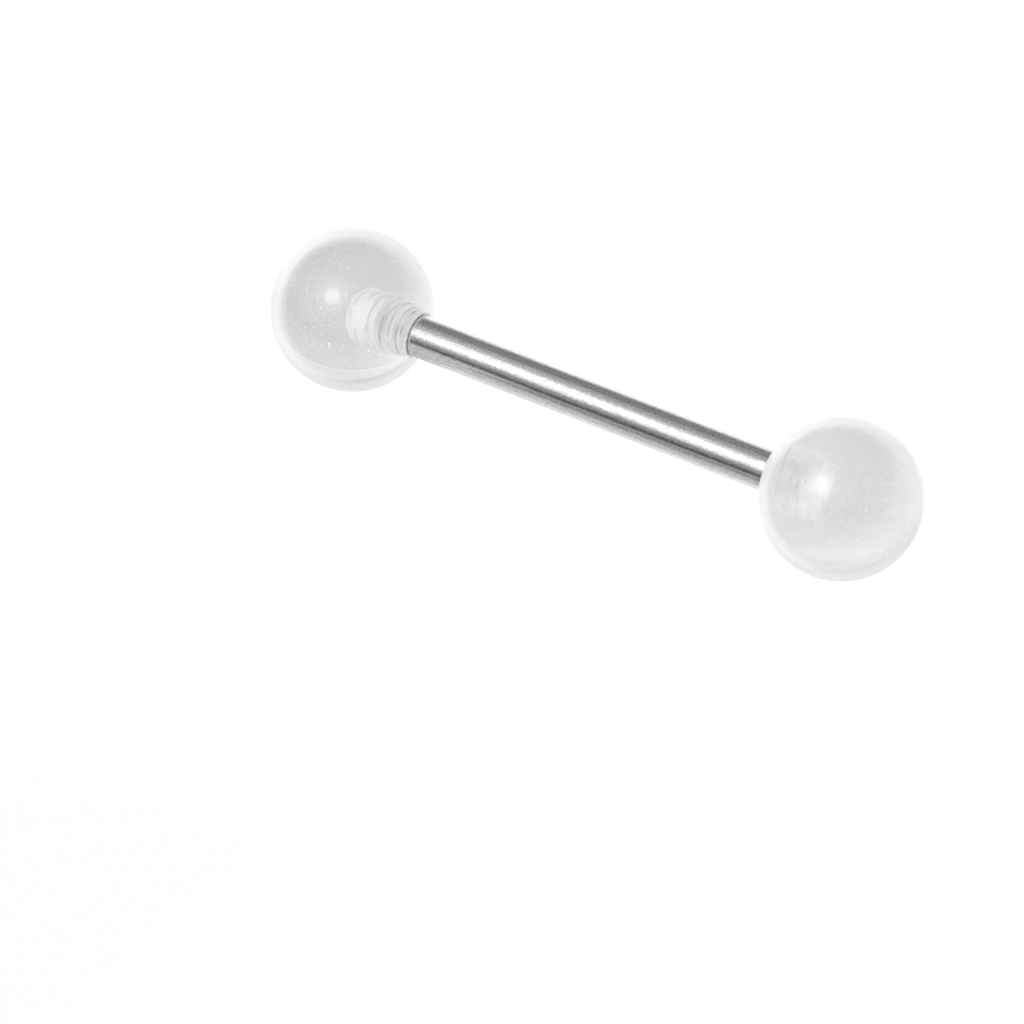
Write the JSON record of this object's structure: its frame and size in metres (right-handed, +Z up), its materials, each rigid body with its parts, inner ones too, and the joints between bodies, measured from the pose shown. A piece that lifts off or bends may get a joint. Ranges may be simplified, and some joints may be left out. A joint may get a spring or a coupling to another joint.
{
  "type": "tongue barbell",
  "caption": "Straight body-piercing barbell: a polished steel bar threaded at each end, with a clear acrylic ball screwed on either end.",
  "frame": {"origin": "on the resting plane, under the middle of the bar, which is the bottom centre of the bounding box", "axes": "+X along the bar from the left ball to the right ball, +Z up, +Y across the bar"},
  "size_m": [0.027, 0.006, 0.006],
  "materials": {
    "steel": "polished, with fine lengthwise lines",
    "clear_acrylic": "clear and glossy, with a frosted tapped hole"
  },
  "bodies": {
    "bar": {"bar": "steel"},
    "left_ball": {"left_ball": "clear_acrylic"},
    "right_ball": {"right_ball": "clear_acrylic"}
  },
  "joints": [
    {"name": "left_ball_unscrew", "type": "slide", "parent": "bar", "child": "left_ball", "axis": [-1, 0, 0], "range_m": [0, 0.02]},
    {"name": "right_ball_unscrew", "type": "slide", "parent": "bar", "child": "right_ball", "axis": [1, 0, 0], "range_m": [0, 0.02]}
  ]
}
